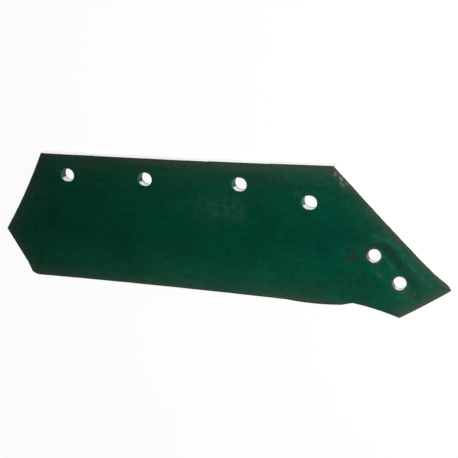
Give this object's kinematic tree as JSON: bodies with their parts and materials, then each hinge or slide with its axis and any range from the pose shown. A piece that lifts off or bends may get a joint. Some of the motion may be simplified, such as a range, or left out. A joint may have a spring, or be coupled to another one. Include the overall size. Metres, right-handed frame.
{
  "type": "plough share",
  "caption": "Right-hand plough share: a flat pointed steel plate with slotted bolt holes along its top edge and a sunk seat for the point near the nose.",
  "frame": {"origin": "middle of the share's bounding box, on the surface that its back lies on", "axes": "+X along the cutting edge from the tail to the nose, +Y across the plate from the cutting edge to the top edge, +Z out of the working face"},
  "size_m": [0.5163, 0.1536, 0.01],
  "materials": {
    "green_paint": "dark green paint, satin, thin over the rolled steel and worn to bare metal at the cut edges"
  },
  "bodies": {
    "root": {"plough_share": "green_paint"}
  },
  "joints": []
}
